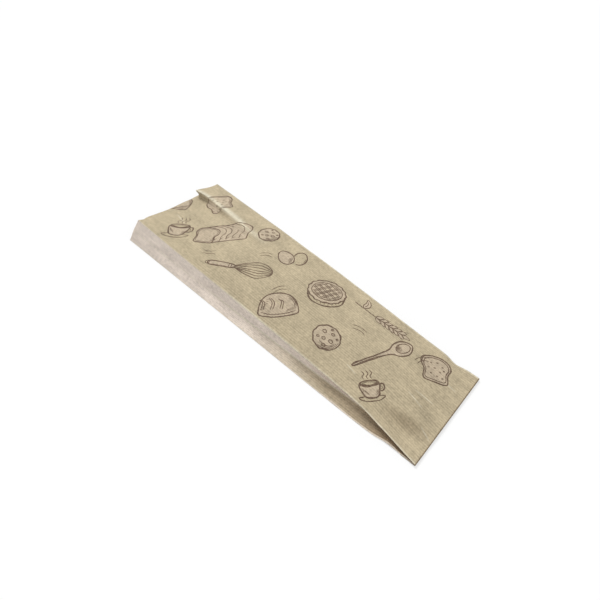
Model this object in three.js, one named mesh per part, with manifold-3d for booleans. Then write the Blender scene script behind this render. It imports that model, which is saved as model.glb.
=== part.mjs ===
// A gusseted paper baguette bag, lying on its back panel with its mouth open.
// One folded sheet, so one solid: a front panel, a back panel, two side gussets, an open mouth,
// and a bottom that is pressed flat, folded under and glued.
// Millimetres. X runs along the bag from the mouth to the bottom, Y across it from the near side
// to the far side, Z up. The origin is at the middle of the footprint, on the surface it lies on.
import * as THREE from 'three';
import { mergeVertices } from 'three/addons/utils/BufferGeometryUtils.js';
import Module from 'manifold-3d';

// Driving dimensions of the flat, folded bag
const bagLength = 450;
const panelWidth = 120;
const gussetDepth = 18; // from a side crease to the gusset's centre crease, folded flat
const paperWall = 0.4;
const seamLap = 12; // width of the glued lap along the back panel
const seamOffset = 8; // from the middle of the back panel to the middle of the lap
const sealDepth = 18; // length of the bottom that is pressed flat and glued
const flapDepth = 16; // length of the bottom that is folded under
const flapThickness = 0.8;
const sealThickness = 1.8; // four layers of paper, pressed together
const flapRamp = 60; // length over which the back panel rises onto the folded flap
const glueOverlap = 0.2; // how far the flap is joined into the back panel

// How far the bag stands open
const mouthHeight = 22; // near front crease above the surface, at the mouth
const mouthInset = 20; // near front crease inside the near back crease, at the mouth
const mouthSpread = 36; // far front crease outside the far back crease, at the mouth
const farMouthHeight = 9; // far front crease above the surface, at the mouth
const middleHeight = 17; // both front creases above the surface, half way along
const panelCrown = 7; // rise of the front panel between its creases, half way along
const mouthSag = 4.6; // dip of the front panel behind the mouth
const ridgeHeight = 10.5; // pinched ridge in the front panel at the mouth
const ridgeLength = 165;
const ridgeLean = 7;
const ridgePlace = 0.775; // share of the way from the near front crease to the far one, at the mouth
const hollowDepth = 2.6; // dent in the front panel before the bottom

// Fineness of the sheet
const stationCount = 46;
const frontSteps = 30;
const backSteps = 4;
const gussetSteps = 4;
const capBow = 0.02;
const creaseRadius = 0.1; // half the width of a gusset's centre crease
const panelEnd = 0.06; // share of the front panel that sets its slope at a side crease
const panelStep = 0.01;
const ridgeCrowding = 0.06;

// A smooth value along the bag: pairs of a share of the length and a value
function along(pairs) {
  const curve = new THREE.SplineCurve(pairs.map(([share, value]) => new THREE.Vector2(share, value)));
  const samples = curve.getPoints(240);
  return (share) => {
    let k = 1;
    while (k < samples.length - 1 && samples[k].x < share) k += 1;
    const [before, after] = [samples[k - 1], samples[k]];
    return THREE.MathUtils.mapLinear(share, before.x, after.x, before.y, after.y);
  };
}

const bump = (distance, width) => Math.exp(-((distance / width) ** 2));

// The near front crease, the near gusset's centre crease, and the same two on the far side
const nearInset = along([[0, mouthInset], [0.2, mouthInset * 0.84], [0.5, mouthInset * 0.7],
  [0.8, mouthInset * 0.52], [0.9, mouthInset * 0.32], [1, 0]]);
const nearHeight = along([[0, mouthHeight], [0.2, mouthHeight * 0.95], [0.5, middleHeight],
  [0.8, middleHeight * 0.68], [0.9, middleHeight * 0.42], [0.96, sealThickness * 1.7], [1, sealThickness]]);
const nearFold = along([[0, mouthInset * 0.47], [0.25, gussetDepth * 0.53], [0.5, gussetDepth * 0.56],
  [0.75, gussetDepth * 0.68], [0.9, gussetDepth * 0.85], [1, gussetDepth]]);
const nearFoldShare = along([[0, 0.51], [0.25, 0.35], [0.5, 0.28], [0.75, 0.33], [0.9, 0.42], [1, 0.5]]);

const farSpread = along([[0, mouthSpread], [0.25, mouthSpread * 0.64], [0.5, mouthSpread * 0.32],
  [0.8, mouthSpread * 0.04], [0.9, 0], [1, 0]]);
const farHeight = along([[0, farMouthHeight], [0.15, farMouthHeight * 1.4], [0.35, middleHeight * 0.97],
  [0.55, middleHeight * 0.97], [0.8, middleHeight * 0.58], [0.9, middleHeight * 0.34],
  [0.96, sealThickness * 1.5], [1, sealThickness]]);
const farFold = along([[0, mouthSpread * 0.45], [0.25, gussetDepth * 0.4], [0.5, 0],
  [0.75, -gussetDepth * 0.55], [0.9, -gussetDepth * 0.85], [1, -gussetDepth]]);
const farFoldShare = along([[0, 0.6], [0.25, 0.5], [1, 0.5]]);

// The front panel's own shape, as a rise over the straight line between its two creases
const crown = along([[0, 0], [0.2, panelCrown * 0.5], [0.5, panelCrown], [0.8, panelCrown * 0.8],
  [0.93, panelCrown * 0.25], [1, 0]]);
const sag = along([[0, mouthSag], [0.15, mouthSag * 0.6], [0.35, 0], [1, 0]]);
const ridgeNearWidth = 0.035; // widths and places across are shares of the front panel's width
const ridgeFarWidth = 0.12;
const ridgeRise = along([[0, 1], [0.27, 0.66], [0.55, 0.36], [0.8, 0.13], [1, 0]]); // over the ridge's length
const ridgeTilt = along([[0, 1], [0.2, 0.45], [0.55, 0.12], [1, 0]]);
const ridgeShift = along([[0, 0], [0.27, -0.018], [0.55, -0.036], [0.8, -0.066], [1, -0.08]]);
const hollowPlace = 0.24;
const hollowWidth = 0.12;
const hollowStation = 0.91; // along the bag, shares of its length
const hollowReach = 0.06;

function frontPoint(u, s) {
  const near = [nearInset(u), nearHeight(u)];
  const far = [panelWidth + farSpread(u), farHeight(u)];
  const ridgeShare = Math.min(1, (u * bagLength) / ridgeLength);
  const fromCrest = s - ridgePlace - ridgeShift(ridgeShare);
  const ridge = bump(fromCrest, fromCrest < 0 ? ridgeNearWidth : ridgeFarWidth);
  const hollow = bump(s - hollowPlace, hollowWidth) * bump(u - hollowStation, hollowReach);
  const crest = ridge * ridgeRise(ridgeShare) * ridgeHeight;
  const rise = (crown(u) - sag(u)) * 4 * s * (1 - s) + crest - hollow * hollowDepth;
  return [
    THREE.MathUtils.lerp(near[0], far[0], s) - ridge * ridgeTilt(ridgeShare) * ridgeLean,
    THREE.MathUtils.lerp(near[1], far[1], s) + rise,
  ];
}

// Steps across the front panel, closer together at the ridge
const frontShares = [];
for (let i = 0; i <= frontSteps; i += 1) {
  const t = i / frontSteps;
  const crowd = (share) => ridgeCrowding * Math.sin(2 * Math.PI * (share - ridgePlace));
  frontShares.push(t - crowd(t) + THREE.MathUtils.lerp(crowd(0), crowd(1), t));
}

// The lap's edges and the corners of the back panel, from the near side to the far side
const lapMiddle = panelWidth / 2 + seamOffset;
const lapEdges = [lapMiddle - seamLap / 2, lapMiddle + seamLap / 2];

// The point that lies one wall inside a corner, where its two sides meet when both are moved in
function movedIn(before, corner, after) {
  const normal = (p, q) => new THREE.Vector2(p[1] - q[1], q[0] - p[0]).normalize();
  const [first, second] = [normal(before, corner), normal(corner, after)];
  const mitre = first.clone().add(second).multiplyScalar(paperWall / (1 + first.dot(second)));
  return [corner[0] + mitre.x, corner[1] + mitre.y];
}

// The bag's outline at one station, as a closed loop of [y, z]: its outer face, or its inner face
function outline(u, inside) {
  const [nearTop, farTop] = [frontPoint(u, 0), frontPoint(u, 1)];
  const nearCentre = [nearFold(u), nearTop[1] * nearFoldShare(u)];
  const farCentre = [panelWidth + farFold(u), farTop[1] * farFoldShare(u)];
  const outer = {
    nearBack: [0, 0],
    farBack: [panelWidth, 0],
    farLow: [farCentre[0], farCentre[1] - creaseRadius],
    farHigh: [farCentre[0], farCentre[1] + creaseRadius],
    farTop,
    nearTop,
    nearHigh: [nearCentre[0], nearCentre[1] + creaseRadius],
    nearLow: [nearCentre[0], nearCentre[1] - creaseRadius],
  };
  const names = Object.keys(outer);
  const face = { ...outer };
  if (inside) {
    names.forEach((name, i) => {
      let before = outer[names[(i + names.length - 1) % names.length]];
      let after = outer[names[(i + 1) % names.length]];
      if (name === 'farTop') after = frontPoint(u, 1 - panelEnd);
      if (name === 'nearTop') before = frontPoint(u, panelEnd);
      face[name] = movedIn(before, outer[name], after);
    });
  }

  const loop = [];
  const straight = (from, to, steps) => {
    for (let i = 0; i < steps; i += 1) {
      const share = i / steps;
      loop.push([THREE.MathUtils.lerp(from[0], to[0], share), THREE.MathUtils.lerp(from[1], to[1], share)]);
    }
  };
  const floor = inside ? paperWall : 0;
  const lapTop = inside ? 2 * paperWall : 0;
  straight(face.nearBack, [lapEdges[0], floor], backSteps);
  loop.push([lapEdges[0], floor], [lapEdges[0] + paperWall, lapTop]);
  loop.push([lapEdges[1] - paperWall, lapTop]);
  straight([lapEdges[1], floor], face.farBack, backSteps);
  straight(face.farBack, face.farLow, gussetSteps);
  straight(face.farLow, face.farHigh, 1);
  straight(face.farHigh, face.farTop, gussetSteps);
  loop.push(face.farTop);
  const width = farTop[0] - nearTop[0];
  const first = (face.nearTop[0] - nearTop[0]) / width;
  const last = (face.farTop[0] - nearTop[0]) / width;
  for (let i = frontSteps - 1; i > 0; i -= 1) {
    const s = THREE.MathUtils.lerp(first, last, frontShares[i]);
    const point = frontPoint(u, s);
    loop.push(inside ? movedIn(frontPoint(u, s + panelStep), point, frontPoint(u, s - panelStep)) : point);
  }
  straight(face.nearTop, face.nearHigh, gussetSteps);
  straight(face.nearHigh, face.nearLow, 1);
  straight(face.nearLow, face.nearBack, gussetSteps);
  return loop;
}

// The middle of the footprint, and the rise of the back panel onto the flap folded under it
const origin = { x: bagLength / 2, y: (panelWidth + mouthSpread) / 2 };
const flapStart = bagLength - flapDepth;
const floorRise = (x) => flapThickness * THREE.MathUtils.smoothstep(x, flapStart - flapRamp, flapStart);

// A closed skin: outer loops to the bottom, inner loops to the end of the hollow
function bagGeometry() {
  const outerLoops = [];
  const innerLoops = [];
  const hollowEnd = 1 - sealDepth / bagLength;
  for (let i = 0; i <= stationCount; i += 1) {
    const u = hollowEnd * (i / stationCount);
    outerLoops.push({ x: u * bagLength, points: outline(u, false) });
    innerLoops.push({ x: u * bagLength, points: outline(u, true) });
  }
  for (const u of [(1 + hollowEnd) / 2, 1]) outerLoops.push({ x: u * bagLength, points: outline(u, false) });

  const positions = [];
  const indices = [];
  const place = ({ x, points }) => {
    const start = positions.length / 3;
    for (const [y, z] of points) positions.push(x - origin.x, y - origin.y, z + floorRise(x));
    return start;
  };
  const outerStarts = outerLoops.map(place);
  const innerStarts = innerLoops.map(place);
  const count = outerLoops[0].points.length;
  const skin = (starts, outward) => {
    for (let i = 0; i + 1 < starts.length; i += 1) {
      for (let k = 0; k < count; k += 1) {
        const next = (k + 1) % count;
        const [a, b] = [starts[i] + k, starts[i] + next];
        const [c, d] = [starts[i + 1] + next, starts[i + 1] + k];
        if (outward) indices.push(a, b, c, a, c, d);
        else indices.push(a, c, b, a, d, c);
      }
    }
  };
  // Points in a straight row would be skipped, so the contour that is triangulated bows very slightly
  const cap = (start, points, forward) => {
    const middle = points.reduce((sum, [, z]) => sum + z, 0) / points.length;
    const contour = points.map(([y, z]) => {
      const bow = capBow * (1 - ((2 * y) / panelWidth - 1) ** 2);
      return new THREE.Vector2(y, z + Math.sign(z - middle) * bow);
    });
    for (const [a, b, c] of THREE.ShapeUtils.triangulateShape(contour, [])) {
      const facesForward = THREE.ShapeUtils.area([contour[a], contour[b], contour[c]]) > 0;
      if (facesForward === forward) indices.push(start + a, start + b, start + c);
      else indices.push(start + a, start + c, start + b);
    }
  };
  skin(outerStarts, true);
  skin(innerStarts, false);
  for (let k = 0; k < count; k += 1) {
    const next = (k + 1) % count;
    const [a, b] = [outerStarts[0] + k, outerStarts[0] + next];
    const [c, d] = [innerStarts[0] + next, innerStarts[0] + k];
    indices.push(a, c, b, a, d, c);
  }
  cap(outerStarts[outerStarts.length - 1], outerLoops[outerLoops.length - 1].points, true);
  cap(innerStarts[innerStarts.length - 1], innerLoops[innerLoops.length - 1].points, false);

  const geometry = new THREE.BufferGeometry();
  geometry.setAttribute('position', new THREE.Float32BufferAttribute(positions, 3));
  geometry.setIndex(indices);
  return geometry;
}

// The bottom's flap, folded under and glued flat to the back panel
function flapGeometry() {
  const height = flapThickness + glueOverlap;
  const box = new THREE.BoxGeometry(flapDepth, panelWidth, height, 1, backSteps, 1);
  return box.translate(bagLength - flapDepth / 2 - origin.x, panelWidth / 2 - origin.y, height / 2);
}

const wasm = await Module();
wasm.setup();

function solid(geometry) {
  const bare = geometry.clone();
  bare.deleteAttribute('normal');
  bare.deleteAttribute('uv');
  const welded = mergeVertices(bare, 1e-5);
  return new wasm.Manifold(new wasm.Mesh({
    numProp: 3,
    vertProperties: new Float32Array(welded.attributes.position.array),
    triVerts: new Uint32Array(welded.index.array),
  }));
}

function bufferGeometry(manifold) {
  const { vertProperties, triVerts } = manifold.getMesh();
  const geometry = new THREE.BufferGeometry();
  geometry.setAttribute('position', new THREE.BufferAttribute(vertProperties, 3));
  geometry.setIndex(new THREE.BufferAttribute(triVerts, 1));
  geometry.computeVertexNormals();
  return geometry;
}

const folded = solid(bagGeometry()).add(solid(flapGeometry()));
const paper = new THREE.MeshStandardMaterial({ color: 0xc8bc9b, roughness: 0.8, metalness: 0 });
const bag = new THREE.Mesh(bufferGeometry(folded), paper);
bag.name = 'paper_bag';

const part = new THREE.Group();
part.add(bag);

export default part;
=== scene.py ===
import math

import bpy
import numpy as np
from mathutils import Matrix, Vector, noise
from mathutils.geometry import delaunay_2d_cdt


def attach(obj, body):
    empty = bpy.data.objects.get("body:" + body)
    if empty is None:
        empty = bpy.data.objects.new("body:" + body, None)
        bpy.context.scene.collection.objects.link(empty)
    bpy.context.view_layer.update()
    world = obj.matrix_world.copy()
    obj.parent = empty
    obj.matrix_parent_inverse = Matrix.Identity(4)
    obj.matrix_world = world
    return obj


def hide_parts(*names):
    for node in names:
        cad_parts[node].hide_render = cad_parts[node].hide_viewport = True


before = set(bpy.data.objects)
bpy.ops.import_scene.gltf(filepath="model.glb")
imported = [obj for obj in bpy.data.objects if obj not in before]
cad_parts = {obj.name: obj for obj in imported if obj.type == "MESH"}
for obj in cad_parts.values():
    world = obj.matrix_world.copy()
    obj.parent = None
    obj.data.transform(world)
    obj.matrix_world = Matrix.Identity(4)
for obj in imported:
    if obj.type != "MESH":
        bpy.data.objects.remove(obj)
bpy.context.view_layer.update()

mm = 0.001

# The folded bag and how far it stands open, in millimetres from its near mouth corner
bag = {
    "length": 450,
    "width": 120,
    "gusset": 18,
    "paper": 0.12,
    "lapWidth": 12,
    "lapOffset": 8,
    "flapDepth": 16,
    "flapThickness": 0.8,
    "flapRamp": 60,
    "sealThickness": 1.8,
    "mouthHeight": 22,
    "mouthInset": 20,
    "mouthSpread": 36,
    "farMouthHeight": 9,
    "middleHeight": 17,
    "crown": 7,
    "mouthSag": 4.6,
    "ridgeHeight": 10.5,
    "ridgeLength": 165,
    "ridgeLean": 9,
    "ridgePlace": 0.775,
    "footBulge": 2.3,
}

# Forms in the front panel; widths and places are shares of its width, lengths shares of the bag's
frontForm = {
    "ridgeNearWidth": 0.022,
    "ridgeSoftening": 0.045,
    "ridgeFarWidth": 0.12,
    "hollowDepth": 2.6,
    "hollowWidth": 0.065,
    "hollowOffset": 0.07,
    "crestHeight": 2.4,
    "crestNearWidth": 0.06,
    "crestFarWidth": 0.24,
    "crestOffset": 0.065,
    "hollowMiddle": 0.93,
    "hollowLength": 0.05,
}

# How fine the sheet is, and the unevenness of handled paper in millimetres
sheetDetail = {
    "stations": 196,
    "backSteps": 34,
    "gussetSteps": 12,
    "frontSteps": 112,
    "cockle": 0.45,
    "cutWander": 0.7,
    "cutNick": 1.8,
    "edgeKink": 1.9,
    "edgeKinkPlace": 0.94,
    "pucker": 0.55,
    "creaseWander": 0.35,
    "lapStep": 0.22,
    "seed": 7.3,
}


def smoothCurve(pairs, steps=240):
    points = np.array(pairs, float)
    last = len(points) - 1
    place = np.linspace(0, last, steps + 1)
    i = np.minimum(place.astype(int), last - 1)
    w = (place - i)[:, None]
    before, start, end = points[np.maximum(i - 1, 0)], points[i], points[i + 1]
    after = points[np.minimum(i + 2, last)]
    leave, arrive = (end - before) / 2, (after - start) / 2
    curve = (2 * start - 2 * end + leave + arrive) * w ** 3
    curve += (3 * end - 3 * start - 2 * leave - arrive) * w ** 2 + leave * w + start
    return lambda u: np.interp(u, curve[:, 0], curve[:, 1])


def scaled(size, pairs):
    return smoothCurve([(place, size * share) for place, share in pairs])


inset, high, middle = bag["mouthInset"], bag["mouthHeight"], bag["middleHeight"]
spread, fold, seal = bag["mouthSpread"], bag["gusset"], bag["sealThickness"]

# Each curve runs from the mouth (0) to the sealed end (1)
nearInset = scaled(inset, [(0, 1), (0.2, 0.84), (0.5, 0.7), (0.8, 0.52), (0.9, 0.32), (1, 0)])
nearHeight = smoothCurve([
    (0, high), (0.2, high * 0.95), (0.5, middle), (0.8, middle * 0.68), (0.9, middle * 0.42),
    (0.96, seal * 1.7), (1, seal),
])
nearFold = smoothCurve([
    (0, inset * 0.47), (0.25, fold * 0.53), (0.5, fold * 0.56), (0.75, fold * 0.68),
    (0.9, fold * 0.85), (1, fold),
])
nearFoldShare = smoothCurve([(0, 0.51), (0.25, 0.35), (0.5, 0.28), (0.75, 0.33), (0.9, 0.42), (1, 0.5)])
footBulge = scaled(bag["footBulge"], [
    (0, 0), (0.3, 0.3), (0.55, 0.65), (0.75, 1), (0.88, 0.95), (0.925, 0), (0.96, -0.1), (1, 0),
])
foldShadeStart = smoothCurve([
    (0, 1), (0.5, 0.95), (0.6, 0.7), (0.7, 0.4), (0.82, 0.1), (0.9, -0.1), (1, -0.2),
])
foldShadeDepth = smoothCurve([
    (0, 0), (0.5, 0), (0.65, 0.07), (0.78, 0.36), (0.87, 0.58), (0.93, 0.95), (1, 1),
])
farSpread = scaled(spread, [(0, 1), (0.25, 0.64), (0.5, 0.33), (0.8, 0.085), (0.9, 0.03), (1, 0)])
farHeight = smoothCurve([
    (0, bag["farMouthHeight"]), (0.15, bag["farMouthHeight"] * 1.4), (0.35, middle * 0.97),
    (0.55, middle * 0.97), (0.8, middle * 0.58), (0.9, middle * 0.34), (0.96, seal * 1.5), (1, seal),
])
farFold = smoothCurve([
    (0, spread * 0.45), (0.25, fold * 0.4), (0.5, 0), (0.75, -fold * 0.55), (0.9, -fold * 0.85), (1, -fold),
])
farFoldShare = smoothCurve([(0, 0.6), (0.25, 0.5), (1, 0.5)])
crown = scaled(bag["crown"], [(0, 0), (0.2, 0.5), (0.5, 1), (0.8, 0.8), (0.93, 0.25), (1, 0)])
sag = scaled(bag["mouthSag"], [(0, 1), (0.15, 0.6), (0.35, 0), (1, 0)])

# The pinched ridge in the front panel: its height, lean and place across, by share of its length
ridgeRise = smoothCurve([(0, 1), (0.27, 0.66), (0.55, 0.36), (0.8, 0.13), (1, 0)])
ridgeTilt = smoothCurve([(0, 1), (0.12, 0.5), (0.27, 0.25), (0.55, 0.08), (1, 0)])
ridgeShift = smoothCurve([(0, 0), (0.27, -0.018), (0.55, -0.036), (0.8, -0.066), (1, -0.08)])


def bump(distance, width):
    return np.exp(-(distance / width) ** 2)


def eased(x, low, top):
    t = np.clip((x - low) / (top - low), 0, 1)
    return t * t * (3 - 2 * t)


def floorRise(x):
    start = bag["length"] - bag["flapDepth"]
    return bag["flapThickness"] * eased(x, start - bag["flapRamp"], start)


def hollowSlope(u):
    # Where the dark slope of the hollow near the sealed end runs across the front panel
    return 0.19 + 0.8 * (u - 0.92)


def frontPoint(u, s):
    # Across (y) and height (z) of the printed panel; s runs from the near crease to the far one
    lift = floorRise(u * bag["length"])
    far = bag["width"] + farSpread(u)
    along = np.minimum(1, u * bag["length"] / bag["ridgeLength"])
    fromCrest = s - bag["ridgePlace"] - ridgeShift(along)
    nearWidth = frontForm["ridgeNearWidth"] + frontForm["ridgeSoftening"] * along
    ridge = bump(fromCrest, np.where(fromCrest < 0, nearWidth, frontForm["ridgeFarWidth"]))
    slope = s - hollowSlope(u)
    hollow = bump(slope + frontForm["hollowOffset"], frontForm["hollowWidth"]) * frontForm["hollowDepth"]
    past = slope - frontForm["crestOffset"]
    crestWidth = np.where(past < 0, frontForm["crestNearWidth"], frontForm["crestFarWidth"])
    crest = bump(past, crestWidth) * frontForm["crestHeight"]
    rise = (crown(u) - sag(u)) * 4 * s * (1 - s) + ridge * ridgeRise(along) * bag["ridgeHeight"]
    rise += (crest - hollow) * bump(u - frontForm["hollowMiddle"], frontForm["hollowLength"])
    y = nearInset(u) + (far - nearInset(u)) * s - ridge * ridgeTilt(along) * bag["ridgeLean"]
    return y, lift + nearHeight(u) + (farHeight(u) - nearHeight(u)) * s + rise


def sideSteps(count, sideLength):
    edge = np.array([0, 0.35, 1.1]) / sideLength
    inner = np.linspace(2.4, sideLength - 2.4, count - 4) / sideLength
    return np.concatenate([edge, inner, 1 - edge[:0:-1]])


# The six sides of the tube, in order round it, with their widths in the flat sheet
tubeSides = [
    ("back", bag["width"], sheetDetail["backSteps"]),
    ("farLower", fold, sheetDetail["gussetSteps"]),
    ("farUpper", fold, sheetDetail["gussetSteps"]),
    ("front", bag["width"], sheetDetail["frontSteps"]),
    ("nearUpper", fold, sheetDetail["gussetSteps"]),
    ("nearLower", fold, sheetDetail["gussetSteps"]),
]
frontStart = bag["width"] + 2 * fold      # girth of the far crease of the front panel
columnSide, columnShare, columnGirth = [], [], []
girth = 0
for side, sideWidth, count in tubeSides:
    shares = sideSteps(count, sideWidth)
    columnSide += [side] * len(shares)
    columnShare.append(shares)
    columnGirth.append(girth + shares * sideWidth)
    girth += sideWidth
columnSide = np.array(columnSide)
columnShare = np.concatenate(columnShare)
columnGirth = np.concatenate(columnGirth)
fullGirth = girth
lapEdge = bag["width"] / 2 + bag["lapOffset"] + bag["lapWidth"] / 2
creaseGirths = np.cumsum([0] + [width for name, width, count in tubeSides])
creaseDistance = np.min(np.abs(columnGirth[:, None] - creaseGirths[None, :]), axis=1)


def paperNoise(a, b, seed):
    a, b = np.broadcast_arrays(a, b)
    flat = [noise.noise((p, q, seed)) for p, q in zip(a.ravel().tolist(), b.ravel().tolist())]
    return np.array(flat).reshape(a.shape)


def ringPoints(x):
    # Every column of the tube at the stations x: an array of stations by columns by (x, y, z)
    u = (x / bag["length"])[:, None]
    lift = floorRise(x)[:, None]
    zero = np.zeros_like(u)
    share = columnShare[None, :]
    nearFoot, farFoot = (-footBulge(u), lift), (zero + bag["width"], lift)
    nearTop = (nearInset(u), lift + nearHeight(u))
    farTop = (bag["width"] + farSpread(u), lift + farHeight(u))
    nearMid = (nearFold(u), lift + nearFoldShare(u) * nearHeight(u))
    farMid = (bag["width"] + farFold(u), lift + farFoldShare(u) * farHeight(u))
    ends = {
        "back": (nearFoot, farFoot),
        "farLower": (farFoot, farMid),
        "farUpper": (farMid, farTop),
        "nearUpper": (nearTop, nearMid),
        "nearLower": (nearMid, nearFoot),
    }
    y = np.zeros((len(x), len(columnShare)))
    z = np.zeros_like(y)
    for name, (start, end) in ends.items():
        own = columnSide == name
        y[:, own] = start[0] + (end[0] - start[0]) * share[:, own]
        z[:, own] = start[1] + (end[1] - start[1]) * share[:, own]
    own = columnSide == "front"
    y[:, own], z[:, own] = frontPoint(u, 1 - share[:, own])
    # The near gusset bends softly at its centre crease, more so away from the mouth
    radius = 2.5 + 4.5 * eased(u, 0.1, 0.5)
    for name, fromFold in (("nearUpper", 1 - share), ("nearLower", share)):
        own = columnSide == name
        near = np.maximum(0, radius - fromFold[:, own] * fold) ** 2 / (4 * radius * fold)
        y[:, own] += near * (nearTop[0] + nearFoot[0] - 2 * nearMid[0])
        z[:, own] += near * (nearTop[1] + nearFoot[1] - 2 * nearMid[1])
    return np.stack([np.broadcast_to(x[:, None], y.shape), y, z], axis=2)


def gridNormals(points):
    along = np.gradient(points, axis=0)
    closed = np.concatenate([points[:, -1:], points, points[:, :1]], axis=1)
    around = closed[:, 2:] - closed[:, :-2]
    normals = np.cross(around, along)
    return normals / np.maximum(np.linalg.norm(normals, axis=2, keepdims=True), 1e-9)


def cockled(points, stations):
    # Handled paper: low waves in the panels, wandering creases and an uneven cut at the mouth
    x, g = stations[:, None], columnGirth[None, :]
    seed = sheetDetail["seed"]
    calm = 0.3 + 0.7 * (1 - eased(x, 350, 432))
    free = np.minimum(1, 0.15 + creaseDistance[None, :] / 9)
    waves = paperNoise(x / 46, g / 17, seed) + 0.45 * paperNoise(x / 15, g / 7, seed + 3)
    waves *= sheetDetail["cockle"] * calm * free
    back = (columnSide == "back")[None, :]
    across = np.where(columnSide == "front", 1 - columnShare, -1)[None, :]
    puckered = bump(across - 0.36, 0.16) * bump(x / bag["length"] - 0.925, 0.06)
    waves += sheetDetail["pucker"] * puckered * paperNoise(x / 70, g / 4.5, seed + 11) * 1.6
    waves = np.where(back, -0.5 * np.abs(waves), waves)
    moved = points + gridNormals(points) * waves[:, :, None]
    wander = paperNoise(x / 27, 4.2, seed + 8) * sheetDetail["creaseWander"]
    moved[:, :, 2] += np.where(back, 0, wander * calm * np.exp(-creaseDistance / 8)[None, :])
    beside = np.isin(columnSide, ["front", "farUpper"])
    fromFarCrease = np.where(beside, np.abs(columnGirth - frontStart), 99)
    kink = sheetDetail["edgeKink"] * bump(x / bag["length"] - sheetDetail["edgeKinkPlace"], 0.02)
    kink = kink * np.exp(-fromFarCrease / 9)[None, :]
    moved[:, :, 1] -= kink * 0.8
    moved[:, :, 2] -= kink
    mouth = np.exp(-x / 24)
    moved[:, :, 0] += paperNoise(g / 21, x * 0 + 1.7, seed + 5) * sheetDetail["cutWander"] * mouth
    moved[:, :, 0] += sheetDetail["cutNick"] * bump(across - 0.05, 0.03) * np.exp(-x / 6)
    lap = np.clip((g - lapEdge + bag["lapWidth"] + 5) / 5, 0, 1) * (g < lapEdge)
    raised = np.where(back, sheetDetail["lapStep"] * (1 - lap), 0)
    moved[:, :, 2] += raised * (1 - eased(x, 420, 434))
    moved[:, :, 2] = np.maximum(moved[:, :, 2], 0)
    return moved


def endRounded(points):
    # The folded end closes round the thickness of the sheets and the flap under them
    centre = (seal + bag["flapThickness"]) / 2
    past = np.clip((points[:, :, 0] - bag["length"] + centre) / centre, 0, 1)
    points[:, :, 2] = centre + (points[:, :, 2] - centre) * np.sqrt(1 - past ** 2)
    return points


def turnedOver(corners):
    # Keeps the first corner, so both skins are cut into the same triangles
    return corners[:1] + corners[:0:-1]


def quads(first, rows, columns, turned=False):
    i, j = np.meshgrid(np.arange(rows - 1), np.arange(columns), indexing="ij")
    nextJ = (j + 1) % columns
    corners = [i * columns + j, i * columns + nextJ, (i + 1) * columns + nextJ, (i + 1) * columns + j]
    if turned:
        corners = turnedOver(corners)
    return (np.stack(corners, axis=2).reshape(-1, 4) + first).tolist()


def cornerUvs(corners):
    return np.stack([np.stack(pair, axis=2) for pair in corners], axis=2).reshape(-1, 2)


def gridUvs(stations, shift, turned=False):
    # One (girth, length) pair in metres for each corner of each quad, open along the near crease
    g = np.append(columnGirth, fullGirth) * mm + shift
    v = stations * mm
    i, j = np.meshgrid(np.arange(len(stations) - 1), np.arange(len(columnGirth)), indexing="ij")
    corners = [(g[j], v[i]), (g[j + 1], v[i]), (g[j + 1], v[i + 1]), (g[j], v[i + 1])]
    if turned:
        corners = turnedOver(corners)
    return cornerUvs(corners)


def addObject(name, data):
    obj = bpy.data.objects.new(name, data)
    bpy.context.scene.collection.objects.link(obj)
    return obj


def makeMesh(name, verts, faces, uvs, material):
    mesh = bpy.data.meshes.new(name)
    mesh.from_pydata(verts, [], faces)
    layer = mesh.uv_layers.new(name="sheet")
    layer.data.foreach_set("uv", np.asarray(uvs, dtype=np.float32).ravel())
    mesh.materials.append(material)
    mesh.polygons.foreach_set("use_smooth", [True] * len(mesh.polygons))
    return addObject(name, mesh)


def addMask(mesh, name, values):
    layer = mesh.attributes.new(name, "FLOAT", "POINT")
    layer.data.foreach_set("value", np.asarray(values, dtype=np.float32))


# Strengths of the masks that paint light and shade on the paper: paler gussets, painted highlights along
# the creases and the ridge, and painted shade; their widths and places are shares of the front panel's
# width, apart from creaseHighlightWidth, which is in millimetres
maskLook = {
    "gussetInside": 0.6,
    "lowerPaleLoss": 0.9,
    "ridgeHighlight": 1.3,
    "ridgeHighlightWidth": 0.022,
    "troughPlace": -0.055,
    "troughWidth": 0.026,
    "troughShade": 0.2,
    "creaseHighlight": 1.3,
    "creaseHighlightWidth": 1.1,
    "hollowShade": 0.29,
    "hollowNearWidth": 0.075,
    "hollowFarWidth": 0.045,
    "endEdgeShade": 0.9,
    "flapShade": 0.12,
    "lapShade": 0.45,
}

# The paper: its colors, and its relief in metres; the gusset color is a paler, greyer painted light, the
# highlight color a painted highlight and the fold shade color a painted shade
paperLook = {
    "frontColor": (0.505, 0.423, 0.283),
    "gussetLitColor": (0.82, 0.715, 0.62),
    "highlightColor": (0.72, 0.66, 0.51),
    "inkColor": (0.1, 0.053, 0.036),
    "tintColor": (0.535, 0.435, 0.32),
    "foldShadeColor": (0.55, 0.46, 0.4),
    "ribPitch": 2.6 * mm,
    "ribDepth": 0.045 * mm,
    "fibreDepth": 0.08 * mm,
    "roughness": 0.82,
}

# How much each texture adds to the paper's tone
toneShares = {
    "base": -0.185,
    "rib": 0.2,
    "streak": 0.3,
    "cloud": 0.55,
    "fibre": 0.6,
    "speck": 0.66,
}


def addNode(tree, kind, inputs=None, **settings):
    node = tree.nodes.new(kind)
    for key, value in settings.items():
        setattr(node, key, value)
    for key, value in (inputs or {}).items():
        socket = node.inputs[key]
        if isinstance(value, bpy.types.NodeSocket):
            tree.links.new(value, socket)
        else:
            socket.default_value = value
    return node


def calc(tree, operation, a, b=0.0, c=0.0):
    return addNode(tree, "ShaderNodeMath", {0: a, 1: b, 2: c}, operation=operation).outputs[0]


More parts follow.
